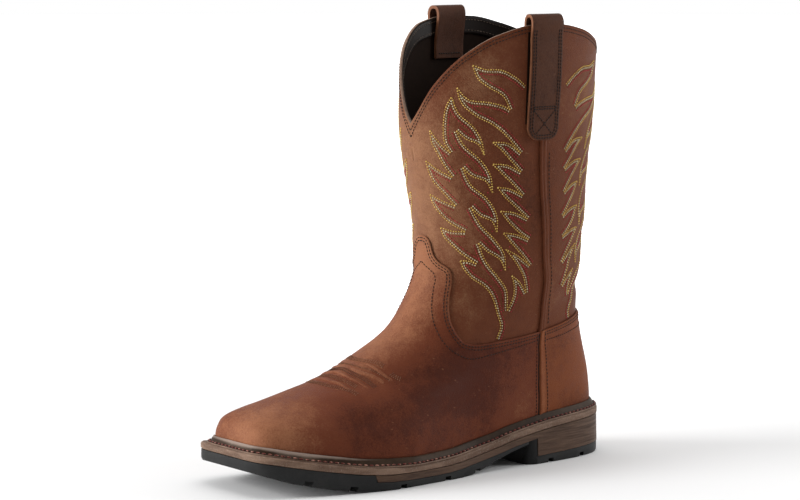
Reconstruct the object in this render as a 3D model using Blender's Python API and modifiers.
# Western work boot, left foot, standing empty. Metres, +Z up, toe to -Y, outer side to +X.
# The upper is one slice function. Everything that lies on it or under it is worked out from it.
import bmesh
import bpy
import numpy as np

for old in list(bpy.data.objects):
    bpy.data.objects.remove(old, do_unlink=True)

# Main sizes: outsole length, outsole width at the ball, collar height at the sides.
LENGTH = 0.306
BALL = 0.112
HEIGHT = 0.306
# Leather and gaps: upper's wall, one overlay, the gap left between pieces.
WALL = 0.0022
OVERLAY = 0.0013
GAP = 0.0003
# Sole: how far its edge stands out from the upper, light layer, brown layer, footbed.
FLANGE = 0.0085
BAND = 0.0048
STEP = 0.0045
FOOTBED = 0.0040
# Pull straps: width, leather, height of the loop over the collar, reach down outside and inside.
STRAP_WIDE = 0.028
STRAP_THICK = 0.0024
LOOP_RISE = 0.0064
STRAP_OUT = 0.079
STRAP_IN = 0.030
PIPING = 0.0013

# One row per slice of the upper, from the feather edge to the collar. Columns, in hundredths:
# front_y, back_y of LENGTH; front_z, back_z of HEIGHT; front_x and back_x of BALL;
# front_round and back_round are the exponents of the slice's two ends, times ten;
# toe, ball, waist and heel half widths of BALL, outer side then inner side;
# follow is how far the slice copies the sole's own wave.
SLICES = [
    # fy     fz     by     bz   fx    bx   front back  toeL  toeM  balL  balM  waiL  waiM  heeL  heeM follow
    (-47.2,  9.3,  47.2,  10.6, -2.8,  0.0,  62,  33,  34.0, 32.5, 48.0, 36.5, 34.2, 25.5, 31.0, 30.0, 100),
    (-47.6, 11.5,  47.4,  12.9, -2.8,  0.0,  60,  33,  34.0, 32.5, 48.5, 38.0, 35.5, 28.5, 33.0, 32.0, 100),
    (-46.9, 14.4,  46.7,  19.0, -2.8, -0.2,  52,  33,  33.5, 32.0, 47.5, 39.5, 36.0, 31.5, 34.0, 33.5,  80),
    (-43.5, 17.1,  46.1,  22.5, -2.4, -0.4,  36,  32,  30.5, 29.5, 43.5, 39.0, 35.5, 33.0, 34.0, 33.5,  50),
    (-35.5, 19.2,  45.6,  25.5, -1.8, -0.6,  28,  30,  28.5, 28.5, 38.5, 36.5, 34.5, 33.5, 33.5, 33.5,  25),
    (-26.0, 21.3,  45.2,  29.0, -1.2, -0.8,  24,  27,  28.5, 28.5, 34.5, 34.0, 34.0, 33.5, 33.5, 33.5,   8),
    (-14.8, 26.0,  45.0,  33.0, -1.0, -1.0,  23,  24,  28.5, 28.5, 33.0, 32.5, 34.0, 33.5, 33.5, 33.5,   0),
    ( -4.6, 32.0,  45.2,  37.5, -1.0, -1.0,  22,  22,  30.5, 30.5, 34.0, 33.5, 35.0, 34.5, 34.0, 34.0,   0),
    (  2.8, 44.5,  45.4,  44.5, -1.0, -1.0,  21,  21,  36.5, 36.5, 37.5, 37.5, 37.5, 37.5, 36.5, 36.5,   0),
    (  2.9, 54.0,  46.3,  54.0, -1.0, -1.0,  21,  21,  41.0, 41.0, 41.5, 41.5, 41.5, 41.5, 40.5, 40.5,   0),
    (  1.0, 66.0,  46.8,  66.0, -1.0, -1.0,  21,  21,  44.0, 44.0, 44.0, 44.0, 44.0, 44.0, 43.5, 43.5,   0),
    ( -0.7, 80.0,  48.5,  80.0, -1.0, -1.0,  21,  21,  45.5, 45.5, 45.5, 45.5, 45.5, 45.5, 45.5, 45.5,   0),
    ( -0.5,104.0,  50.0, 104.0, -1.0, -1.0,  21,  21,  45.5, 45.5, 45.5, 45.5, 45.5, 45.5, 45.5, 45.5,   0),
]
STATIONS = [0.0, 0.36, 0.60, 0.85, 1.0]
ANKLE = 8         # the first level slice; above it the slices are level and follow the collar

# Top face of the midsole, as height in hundredths of HEIGHT against length in hundredths of LENGTH.
SEAT = [(-50, 9.6), (-46, 9.0), (-41, 8.0), (-33, 6.6), (-24, 5.3), (-16, 4.9), (-10, 4.8), (-3, 4.9),
        (3, 5.4), (11, 6.5), (17, 7.8), (23, 8.8), (30, 9.7), (39, 10.3), (50, 10.8)]
# Height of the collar in hundredths of HEIGHT, against the share of the way round: outer side, inner side.
COLLAR = [(0.0, 78.2, 78.2), (0.03, 80.5, 80.5), (0.10, 87.0, 87.2), (0.20, 93.6, 95.2), (0.32, 98.2, 100.2),
          (0.46, 100.4, 101.6), (0.56, 100.4, 101.4), (0.68, 99.2, 99.6), (0.80, 96.6, 96.6),
          (0.90, 94.0, 94.0), (1.0, 92.8, 92.8)]


def curve(knots, x):
    """A smooth curve through hand-set knots that never overshoots them."""
    xs = np.array([k[0] for k in knots], float)
    ys = np.array([k[1] for k in knots], float)
    h = np.diff(xs)
    d = np.diff(ys) / h
    m = np.zeros(len(xs))
    for i in range(1, len(xs) - 1):
        if d[i - 1] * d[i] > 0:
            a = 2 * h[i] + h[i - 1]
            b = h[i] + 2 * h[i - 1]
            m[i] = (a + b) / (a / d[i - 1] + b / d[i])
    m[0] = d[0]
    m[-1] = d[-1]
    x = np.clip(np.asarray(x, float), xs[0], xs[-1])
    k = np.clip(np.searchsorted(xs, x, side="right") - 1, 0, len(xs) - 2)
    t = (x - xs[k]) / h[k]
    return ((2 * t**3 - 3 * t**2 + 1) * ys[k] + (t**3 - 2 * t**2 + t) * h[k] * m[k]
            + (3 * t**2 - 2 * t**3) * ys[k + 1] + (t**3 - t**2) * h[k] * m[k + 1])


def seat(y):
    return curve(SEAT, 100 * np.asarray(y) / LENGTH) * HEIGHT / 100


LEVELS = 8        # finer slices between two rows of the table
SAMPLES = 160     # points down each side of a slice


def slice_side(row, side):
    """Half of one slice, from its front point to its back point."""
    fy, fz, by, bz, fx, bx, pf, pb = row[:8]
    toe, ball, waist, heel = row[8 + side:16:2]
    th = np.linspace(0, np.pi, SAMPLES + 1)
    c = np.cos(th)
    p = np.where(c >= 0, pf, pb) / 10
    along = (1 - np.sign(c) * np.abs(c) ** (2 / p)) / 2
    out = np.abs(np.sin(th)) ** (2 / p)
    wide = curve(list(zip(STATIONS, (toe, ball, waist, heel, heel))), along)
    y = (fy + (by - fy) * along) / 100 * LENGTH
    x = (fx + (bx - fx) * along + (1 - 2 * side) * wide * out) / 100 * BALL
    base = fz + (bz - fz) * along
    first = SLICES[0]
    rest = first[1] + (first[3] - first[1]) * along
    z = base + row[16] / 100 * (100 * seat(y) / HEIGHT - rest)
    return np.stack([x, y, z / 100 * HEIGHT], -1)


def slice_table():
    """Every fine slice, each side resampled to equal steps along its own length."""
    keys = np.arange(len(SLICES))
    fine = np.linspace(0, keys[-1], keys[-1] * LEVELS + 1)
    rows = np.stack([curve(list(zip(keys, [s[c] for s in SLICES])), fine) for c in range(17)], -1)
    table = np.zeros((len(fine), 2, SAMPLES + 1, 3))
    for i, row in enumerate(rows):
        for side in (0, 1):
            line = slice_side(row, side)
            step = np.linalg.norm(np.diff(line, axis=0), axis=1)
            run = np.concatenate([[0], np.cumsum(step)])
            even = np.linspace(0, run[-1], SAMPLES + 1)
            for axis in range(3):
                table[i, side, :, axis] = np.interp(even, run, line[:, axis])
    return table


TABLE = slice_table()
LEVEL_Z = [(SLICES[k][1] * HEIGHT / 100, float(k)) for k in range(ANKLE, len(SLICES))]


def at(share, side, k):
    """Point on the upper: share of the way from front to back down one side, at slice k."""
    share = np.clip(np.asarray(share, float), 0, 1)
    share, k = np.broadcast_arrays(share, np.asarray(k, float))
    a = np.clip(k * LEVELS, 0, len(TABLE) - 1.001)
    b = np.clip(share * SAMPLES, 0, SAMPLES - 0.001)
    i = a.astype(int)
    j = b.astype(int)
    s = (a - i)[..., None]
    t = (b - j)[..., None]
    return ((1 - s) * (1 - t) * TABLE[i, side, j] + (1 - s) * t * TABLE[i, side, j + 1]
            + s * (1 - t) * TABLE[i + 1, side, j] + s * t * TABLE[i + 1, side, j + 1])


def face_normal(share, side, k):
    """Outward direction of the upper's face at one point."""
    e = 0.004
    along = at(share + e, side, k) - at(share - e, side, k)
    up = at(share, side, k + 0.05) - at(share, side, k - 0.05)
    n = np.cross(along, up)
    return n / np.linalg.norm(n) * (1 if side == 0 else -1)


def slice_at_height(z):
    return curve(LEVEL_Z, z)


def collar_z(share, side):
    return curve([(k[0], k[1 + side]) for k in COLLAR], share) * HEIGHT / 100


def upper_point(share, side, v):
    """v runs 0 to 1 from the feather edge to the ankle and 1 to 2 from there to the collar."""
    share, v = np.broadcast_arrays(np.asarray(share, float), np.asarray(v, float))
    low = LEVEL_Z[0][0]
    z = low + (collar_z(share, side) - low) * np.clip(v - 1, 0, 1)
    k = np.where(v < 1, v * ANKLE, slice_at_height(z))
    return at(share, side, k)


COLOURS = {
    "rubber": (0.022, 0.022, 0.024),
    "band": (0.235, 0.150, 0.095),
    "stack": (0.115, 0.070, 0.045),
    "welt": (0.060, 0.045, 0.032),
    "vamp": (0.220, 0.085, 0.045),
    "shaft": (0.165, 0.078, 0.042),
    "counter": (0.210, 0.086, 0.042),
    "strap": (0.110, 0.048, 0.028),
    "footbed": (0.160, 0.120, 0.085),
}


def place(name, points, faces, colour):
    """A mesh object with outward faces and its own material."""
    mesh = bpy.data.meshes.new(name)
    mesh.from_pydata([tuple(p) for p in points], [], [tuple(f) for f in faces])
    bm = bmesh.new()
    bm.from_mesh(mesh)
    bmesh.ops.recalc_face_normals(bm, faces=bm.faces)
    bm.to_mesh(mesh)
    bm.free()
    obj = bpy.data.objects.new(name, mesh)
    bpy.context.collection.objects.link(obj)
    colour_it(obj, colour)
    return obj


def colour_it(obj, colour):
    material = bpy.data.materials.new(obj.name)
    material.use_nodes = True
    shader = material.node_tree.nodes["Principled BSDF"]
    shader.inputs["Base Color"].default_value = (*COLOURS[colour], 1)
    shader.inputs["Roughness"].default_value = 0.6
    material.diffuse_color = (*COLOURS[colour], 1)
    obj.data.materials.append(material)


cutters = bpy.data.collections.new("cutters")
bpy.context.scene.collection.children.link(cutters)


def make_cutter(obj):
    for home in list(obj.users_collection):
        home.objects.unlink(obj)
    cutters.objects.link(obj)
    obj.hide_render = True
    obj.display_type = "WIRE"


# Columns down one side, closer together at the toe and the heel, and rows up the upper
SIDE_COLUMNS = np.concatenate([np.linspace(0, 0.18, 9)[:-1], np.linspace(0.18, 0.82, 16)[:-1],
                               np.linspace(0.82, 1, 7)])
AROUND = ([(s, 0) for s in SIDE_COLUMNS] + [(s, 1) for s in SIDE_COLUMNS[-2:0:-1]])
FOOT_ROWS = [0, 0.7, 1.35, 2, 2.6, 3.2, 3.8, 4.4, 5, 5.7, 6.5, 7.25, 8]
SHAFT_ROWS = 7
VS = [k / ANKLE for k in FOOT_ROWS] + [1 + (i + 1) / SHAFT_ROWS for i in range(SHAFT_ROWS)]
SKIN_ROWS = len(FOOT_ROWS) + 3    # rows that reach just past the vamp's tongue


def grid_points(rows):
    points = np.array([[upper_point(s, side, v) for s, side in AROUND] for v in rows])
    points[0, :, 2] += GAP
    return points


def ring_faces(rows, around):
    """Quads of a closed ring of columns, facing out."""
    return [(r * around + c, r * around + (c + 1) % around, (r + 1) * around + (c + 1) % around,
             (r + 1) * around + c) for r in range(rows - 1) for c in range(around)]


def shell(obj, thickness, offset):
    solid = obj.modifiers.new("wall", "SOLIDIFY")
    solid.thickness = thickness
    solid.offset = offset
    return solid


# Upper: one open surface, thickened inwards
GRID = grid_points(VS)
COLS = len(AROUND)
upper = place("upper", GRID.reshape(-1, 3), ring_faces(len(VS), COLS), "shaft")
shell(upper, WALL, -1)
OUT = np.array([v.normal[:] for v in upper.data.vertices]).reshape(len(VS), COLS, 3)
if OUT[0, 10, 0] < 0:
    raise ValueError("the upper faces inwards")


# Vamp and counter: the same surface a little further out, cut along their own edges
def thick_patch(name, columns, low, high, rows):
    """A closed block that follows the upper between two edges; it cuts an overlay from the skin."""
    inner = -2 * OVERLAY
    outer = 3.5 * OVERLAY
    base = []
    normal = []
    for s, side in columns:
        for k in np.linspace(low(s), high(s), rows):
            base.append(at(s, side, k))
            normal.append(face_normal(s, side, k))
    base = np.array(base).reshape(len(columns), rows, 3)
    normal = np.array(normal).reshape(len(columns), rows, 3)
    points = np.concatenate([(base + normal * inner).reshape(-1, 3), (base + normal * outer).reshape(-1, 3)])
    n = len(columns) * rows
    faces = []
    for i in range(len(columns) - 1):
        for j in range(rows - 1):
            a = i * rows + j
            quad = (a, a + rows, a + rows + 1, a + 1)
            faces += [quad, tuple(n + q for q in reversed(quad))]
    rim = ([(i * rows, (i + 1) * rows) for i in range(len(columns) - 1)]
           + [((len(columns) - 1) * rows + j, (len(columns) - 1) * rows + j + 1) for j in range(rows - 1)]
           + [((i + 1) * rows - 1 + rows, (i + 1) * rows - 1) for i in range(len(columns) - 1)]
           + [(j + 1, j) for j in range(rows - 1)])
    faces += [(b, a, n + a, n + b) for a, b in rim]
    block = place(name, points, faces, "rubber")
    make_cutter(block)
    return block


def overlay(name, cutter, colour):
    points = GRID[:SKIN_ROWS] + OUT[:SKIN_ROWS] * GAP
    obj = place(name, points.reshape(-1, 3), ring_faces(SKIN_ROWS, COLS), colour)
    shell(obj, OVERLAY, 1)
    cut = obj.modifiers.new("edge", "BOOLEAN")
    cut.operation = "INTERSECT"
    cut.solver = "EXACT"
    cut.object = cutter
    return obj


# Top edge of the vamp: share of the way round a side, slice number. It ends down the side seam.
VAMP_EDGE = [(0, 8.92), (0.012, 8.90), (0.032, 8.78), (0.058, 8.60), (0.088, 8.34), (0.118, 8.22),
             (0.143, 8.14), (0.150, 7.95), (0.163, 7.60), (0.179, 7.37), (0.203, 7.16), (0.24, 6.87),
             (0.28, 6.58), (0.343, 6.20), (0.425, 5.95), (0.505, 5.87), (0.588, 5.85), (0.677, 5.87)]
SEAM = [(0.677, 5.87), (0.705, 5.1), (0.728, 4.4), (0.750, 3.4), (0.762, 2.5), (0.766, 1.6), (0.768, 0.3)]
COUNTER_EDGE = [(0.677, 5.87), (0.733, 5.90), (0.805, 5.95), (0.90, 6.08), (1.0, 6.18)]
LOWEST = 0.20     # the overlays start this far up the first slice, clear of the sole
SEAM_HALF = 0.0010


def vamp_top(s):
    if s <= VAMP_EDGE[-1][0] - SEAM_HALF:
        return float(curve(VAMP_EDGE, s))
    return float(curve([(a - SEAM_HALF, k) for a, k in SEAM], s))


def counter_low(s):
    if s > SEAM[-1][0]:
        return LOWEST
    return float(curve([(a + SEAM_HALF, k) for a, k in SEAM], s))


vamp_shares = sorted([s for s, _ in VAMP_EDGE[:-1]] + [a - SEAM_HALF for a, _ in SEAM]
                     + [0.02, 0.045, 0.07, 0.10, 0.31, 0.38, 0.46, 0.55, 0.63])
vamp_columns = [(s, 1) for s in vamp_shares[:0:-1]] + [(s, 0) for s in vamp_shares]
vamp_block = thick_patch("vamp_block", vamp_columns, lambda s: LOWEST, vamp_top, 30)
vamp = overlay("vamp", vamp_block, "vamp")

counter_shares = ([0.683] + [a + SEAM_HALF for a, _ in SEAM[1:-1]] + [SEAM[-1][0] + SEAM_HALF]
                  + list(np.linspace(0.785, 1, 12)))
counter_columns = [(s, 0) for s in counter_shares] + [(s, 1) for s in counter_shares[-2::-1]]
counter_block = thick_patch("counter_block", counter_columns, counter_low,
                            lambda s: float(curve(COUNTER_EDGE, s)), 24)
counter = overlay("counter", counter_block, "counter")

# Storm welt: a flat edge for the stitches and a raised bead against the leather
plan = OUT[0].copy()
plan[:, 2] = 0
plan /= np.linalg.norm(plan, axis=1)[:, None]
ring0 = GRID[0].copy()
ring1 = GRID[1]
snug = OVERLAY + 2.8 * GAP


def on_seat(offset, height):
    points = ring0 + plan * offset
    points[:, 2] = seat(points[:, 1]) + height
    return points


crest = ring1 + OUT[1] * (snug + 0.0011)
crest[:, 2] = ring1[:, 2] + 0.0004
inner_top = ring1 + OUT[1] * snug
inner_top[:, 2] = ring1[:, 2] - 0.0002
welt_rings = [on_seat(snug, GAP), inner_top, crest, on_seat(0.0046, 0.0034), on_seat(0.0058, 0.0016),
              on_seat(0.0076, 0.0015), on_seat(0.0076, GAP)]
welt_points = np.array(welt_rings).reshape(-1, 3)
welt_faces = ring_faces(len(welt_rings), COLS)
last = (len(welt_rings) - 1) * COLS
welt_faces += [(last + c, last + (c + 1) % COLS, (c + 1) % COLS, c) for c in range(COLS)]
place("welt", welt_points, welt_faces, "welt")

# Insole: flat footbed inside the upper
inside = -(WALL + 2 * GAP)
low_ring = on_seat(inside, GAP)
high_ring = on_seat(inside, GAP + FOOTBED)


def bridged(rings):
    """Rings stacked from bottom to top, with both ends closed by strips from side to side."""
    count = len(rings[0])
    points = np.array(rings).reshape(-1, 3)
    faces = ring_faces(len(rings), count)
    half = count // 2
    for r, turn in ((0, 1), (len(rings) - 1, -1)):
        for c in range(half):
            quad = [r * count + c, r * count + c + 1, r * count + (count - c - 1) % count,
                    r * count + (count - c) % count]
            quad = list(dict.fromkeys(quad))
            faces.append(tuple(quad[::turn]))
    return points, faces


place("insole", *bridged([low_ring, high_ring]), "footbed")

# The sole's toe is squarer than the upper's: end exponent times ten, outer and inner half width of BALL
SOLE_TOE = (85, 35.5, 36.5)

# Sole outline: the feather line moved out, as x against y down each side
sole_row = list(SLICES[0])
sole_row[6], sole_row[8], sole_row[9] = SOLE_TOE
feather = [slice_side(sole_row, 0), slice_side(sole_row, 1)]
loop = np.concatenate([feather[0], feather[1][-2:0:-1]])
tangent = np.roll(loop, -1, 0) - np.roll(loop, 1, 0)
away = np.stack([tangent[:, 1], -tangent[:, 0], np.zeros(len(loop))], -1)
away /= np.linalg.norm(away, axis=1)[:, None]
if away[SAMPLES // 3, 0] < 0:
    away = -away


def outline(offset):
    moved = loop + away * offset
    outer = moved[:SAMPLES + 1]
    inner = np.concatenate([moved[SAMPLES:], moved[:1]])[::-1]
    return outer, inner


EDGE = outline(FLANGE)
TOE = EDGE[0][:, 1].min()
HEEL = EDGE[0][:, 1].max()
BREAST = 0.228 * LENGTH      # front face of the heel
BREAST_ROUND = 0.008


def edge_x(y, side, inset):
    line = EDGE[side]
    order = np.argsort(line[:, 1], kind="stable")
    middle = (TOE + HEEL) / 2
    shrink = 1 - inset / (HEEL - middle)
    x = np.interp(y, line[order, 1], line[order, 0])
    moved = middle + (y - middle) * shrink
    return x - (1 if side == 0 else -1) * inset, moved


def layer(name, stations, colour, rings):
    """A solid between two heights at each station: (y, top, bottom, corner); rings are (share, inset)."""
    loops = []
    for share, inset in rings:
        sides = []
        for side in (0, 1):
            line = []
            for y, top, bottom, corner in stations:
                x, moved = edge_x(y, side, inset)
                x -= (1 if side == 0 else -1) * corner
                line.append((x, moved, bottom + (top - bottom) * share))
            sides.append(line)
        loops.append(sides[0] + sides[1][::-1])
    count = len(loops[0])
    points = np.array(loops).reshape(-1, 3)
    faces = ring_faces(len(loops), count)
    for r, turn in ((0, 1), (len(loops) - 1, -1)):
        for c in range(count // 2 - 1):
            a = r * count
            faces.append((a + c, a + c + 1, a + count - c - 2, a + count - c - 1)[::turn])
    return place(name, points, faces, colour)


def ends(first, last, step):
    """Station lengths with closer steps where the outline turns at the toe and the heel."""
    toe = [TOE + d for d in (0.0002, 0.0012, 0.0035, 0.0075, 0.0135, 0.0215)]
    heel = [HEEL - d for d in (0.0215, 0.0145, 0.0085, 0.0042, 0.0014, 0.0002)]
    middle = list(np.arange(TOE + 0.032, HEEL - 0.026, step))
    return [y for y in toe + middle + heel if first <= y <= last]


def sole_top(y):
    return float(seat(y))


def band_bottom(y):
    return sole_top(y) - BAND


def step_bottom(y):
    return band_bottom(y) - GAP - STEP


# Bottom of the black sole under toe, ball and arch, in hundredths of HEIGHT against LENGTH
TREAD = [(-50, 5.6), (-46, 4.2), (-42, 3.0), (-37, 1.9), (-31, 0.8), (-26, 0.2), (-22, 0.0), (3.5, 0.0),
         (7, 0.4), (12, 2.1), (17, 3.6), (23, 4.9)]
HEEL_BASE = [(22, 1.7), (50, 2.6)]     # top of the black heel base


def tread(y):
    return float(curve(TREAD, 100 * y / LENGTH)) * HEIGHT / 100


def base_top(y):
    return float(curve(HEEL_BASE, 100 * y / LENGTH)) * HEIGHT / 100


all_stations = ends(TOE, HEEL, 0.0125)
layer("midsole", [(y, sole_top(y), band_bottom(y), 0) for y in all_stations], "band",
      [(0, 0.0003), (0.2, 0), (0.8, 0), (1, 0.0008)])

# Brown layer: a step from the ball back, then the heel block behind the black breast
STEP_START = -0.238 * LENGTH
WALL_BACK = BREAST + 0.0075
stack = [(STEP_START, band_bottom(STEP_START) - GAP, band_bottom(STEP_START) - GAP - 0.0008, 0)]
for y in ends(STEP_START + 0.0015, WALL_BACK, 0.0125):
    stack.append((y, band_bottom(y) - GAP, step_bottom(y), 0))
stack.insert(1, (STEP_START + 0.0014, band_bottom(STEP_START) - GAP, step_bottom(STEP_START), 0))
stack.append((WALL_BACK + GAP, band_bottom(WALL_BACK) - GAP, step_bottom(WALL_BACK), 0))
stack.append((WALL_BACK + 2 * GAP, band_bottom(WALL_BACK) - GAP, base_top(WALL_BACK) + GAP, 0))
for y in ends(WALL_BACK + 0.004, HEEL, 0.0125):
    stack.append((y, band_bottom(y) - GAP, base_top(y) + GAP, 0))
layer("heel_stack", sorted(stack), "stack", [(0, 0), (1, 0.0003)])


# Black outsole in one piece: forefoot, arch, heel breast and heel base
def corner(y):
    """How far the rounded corner of the heel breast pulls the side in."""
    d = np.clip((y - BREAST) / BREAST_ROUND, 0, 1)
    return BREAST_ROUND * (1 - np.sqrt(1 - (1 - d) ** 2)) if y >= BREAST else 0


sole = []
for y in ends(TOE, STEP_START - 0.001, 0.0125):
    sole.append((y, band_bottom(y) - GAP, tread(y), 0))
sole.append((STEP_START - 0.0005, band_bottom(STEP_START) - GAP, tread(STEP_START), 0))
sole.append((STEP_START + 0.0009, step_bottom(STEP_START) - GAP, tread(STEP_START), 0))
for y in ends(STEP_START + 0.004, BREAST - 0.004, 0.0125):
    sole.append((y, step_bottom(y) - GAP, tread(y), 0))
sole.append((BREAST - 0.0006, step_bottom(BREAST) - GAP, tread(BREAST), 0))
for d in (0, 0.0008, 0.0024, 0.0046, 0.0072):
    y = BREAST + d
    sole.append((y, step_bottom(y) - GAP, 0.0004 if d == 0 else 0, corner(y)))
sole.append((WALL_BACK, base_top(WALL_BACK), 0, 0))
for y in ends(WALL_BACK + 0.004, HEEL, 0.0125):
    sole.append((y, base_top(y), 0, 0))
outsole = layer("outsole", sole, "rubber", [(0, 0.0009), (0.22, 0.0002), (1, 0.0002)])


# Tread: grooves cut up into the black sole from each edge, and two along the middle
def groove(points, name, x, y, long, wide, turn):
    deep = 0.0030
    z = tread(y) if y < BREAST else 0
    slope = np.arctan2(tread(y + 0.004) - tread(y - 0.004), 0.008) if y < BREAST else 0
    bpy.ops.mesh.primitive_cube_add(size=1, location=(x, y, z - 0.003 + deep / 2),
                                    rotation=(slope, 0, turn))
    cube = bpy.context.object
    cube.scale = (long, wide, 0.006 + deep)
    cube.name = name
    points.append(cube)


grooves = []
LUGS_OUT = [-0.405, -0.300, -0.172, -0.038, 0.062]
LUGS_IN = [-0.420, -0.325, -0.215, -0.100, 0.020]
for n, share in enumerate(LUGS_OUT):
    y = share * LENGTH
    x, _ = edge_x(y, 0, 0)
    groove(grooves, f"lug_out_{n}", x - 0.008, y, 0.032, 0.0050, 0.30)
for n, share in enumerate(LUGS_IN):
    y = share * LENGTH
    x, _ = edge_x(y, 1, 0)
    groove(grooves, f"lug_in_{n}", x + 0.008, y, 0.032, 0.0050, -0.30)
for n, share in enumerate((-0.355, -0.245, -0.135, -0.025)):
    y = share * LENGTH
    x = (edge_x(y, 0, 0)[0] + edge_x(y, 1, 0)[0]) / 2
    groove(grooves, f"lug_middle_{n}", x, y, 0.034, 0.0044, 0)
for n, share in enumerate((0.292, 0.398)):
    y = share * LENGTH
    for side in (0, 1):
        x, _ = edge_x(y, side, 0)
        inward = -1 if side == 0 else 1
        groove(grooves, f"lug_heel_{n}_{side}", x + inward * 0.006, y, 0.026, 0.0048, -inward * 0.2)
tool = grooves[0]
for other in grooves:
    other.select_set(True)
bpy.context.view_layer.objects.active = tool
bpy.ops.object.transform_apply(location=False, rotation=True, scale=True)
bpy.ops.object.join()
tool.name = "lug_cutter"
make_cutter(tool)
cut = outsole.modifiers.new("tread", "BOOLEAN")
cut.operation = "DIFFERENCE"
cut.solver = "EXACT"
cut.object = tool

# Side seam piping: a cord that lies on the shaft from the strap down to the counter
# The inner side's strap and seam sit further forward at the top, by this share
FORWARD = (0.0, 0.045)
STRAP_SHARE = 0.499
PIPING_LINE = [(5.98, 0.672), (6.4, 0.650), (7.02, 0.615), (7.7, 0.572), (8.4, 0.538), (9.3, 0.510),
               (10.0, 0.501), (10.58, 0.498)]


for side, word in ((0, "lateral"), (1, "medial")):
    shape = bpy.data.curves.new(f"side_seam_{word}", "CURVE")
    shape.dimensions = "3D"
    shape.bevel_depth = PIPING
    shape.bevel_resolution = 1
    shape.use_fill_caps = True
    line = shape.splines.new("POLY")
    top = collar_z(STRAP_SHARE - FORWARD[side], side) - STRAP_OUT - PIPING
    ks = np.linspace(PIPING_LINE[0][0], float(slice_at_height(top)), 18)
    line.points.add(len(ks) - 1)
    for point, k in zip(line.points, ks):
        share = float(curve(PIPING_LINE, k)) - FORWARD[side] * (k - ks[0]) / (ks[-1] - ks[0])
        p = at(share, side, k) + face_normal(share, side, k) * (PIPING + 0.0004)
        point.co = (*p, 1)
    cord = bpy.data.objects.new(f"side_seam_{word}", shape)
    bpy.context.collection.objects.link(cord)
    colour_it(cord, "shaft")

# Pull straps: one folded strip each, down the outside, over the collar and down the inside
# Loop over the collar: how far out from the shaft's face, height above the collar, in strap leathers
LOOP = [(1.10, -3.4), (1.42, -0.4), (1.30, 1.35), (0.68, 2.5), (-0.46, 2.87), (-1.60, 2.5),
        (-2.22, 1.35), (-2.34, -0.4), (-2.02, -3.4)]
for side, word in ((0, "lateral"), (1, "medial")):
    middle = STRAP_SHARE - FORWARD[side]
    top = float(collar_z(middle, side))
    rise = LOOP_RISE / 2.87
    outer = STRAP_THICK / 2 + GAP + 0.00005
    path = [(outer, -STRAP_OUT * d) for d in (1, 0.96, 0.91, 0.78, 0.61, 0.43, 0.25)]
    path += [(d * STRAP_THICK, h * rise) for d, h in LOOP]
    path += [(-(WALL + outer), -STRAP_IN * d) for d in (0.57, 0.8, 1)]
    half = [0.62, 0.88, 1] + [1] * (len(path) - 3)
    points = []
    for (out, h), share_wide in zip(path, half):
        for t in np.linspace(-1, 1, 7):
            z = top + h
            run = np.linalg.norm(np.diff(TABLE[int(slice_at_height(min(z, top)) * LEVELS), side], axis=0),
                                 axis=1).sum()
            s = middle + t * share_wide * STRAP_WIDE / 2 / run
            k = float(slice_at_height(min(z, top)))
            p = at(s, side, k) + face_normal(s, side, k) * out
            p[2] = z
            points.append(p)
    faces = [(i * 7 + j, i * 7 + j + 1, (i + 1) * 7 + j + 1, (i + 1) * 7 + j)
             for i in range(len(path) - 1) for j in range(6)]
    strap = place(f"pull_strap_{word}", points, faces, "strap")
    shell(strap, STRAP_THICK, 0)

# Centre the whole boot on the origin, sole down
bpy.context.view_layer.update()
graph = bpy.context.evaluated_depsgraph_get()
corners = []
for obj in bpy.context.collection.objects:
    if obj.hide_render:
        continue
    shape = obj.evaluated_get(graph).to_mesh()
    corners += [obj.matrix_world @ v.co for v in shape.vertices]
    obj.evaluated_get(graph).to_mesh_clear()
corners = np.array([c[:] for c in corners])
shift = -(corners.max(0) + corners.min(0)) / 2
shift[2] = -corners[:, 2].min()
for obj in list(bpy.context.collection.objects) + list(cutters.objects):
    obj.location = [a + b for a, b in zip(obj.location, shift)]
print("shift", np.round(shift * 1000, 2))
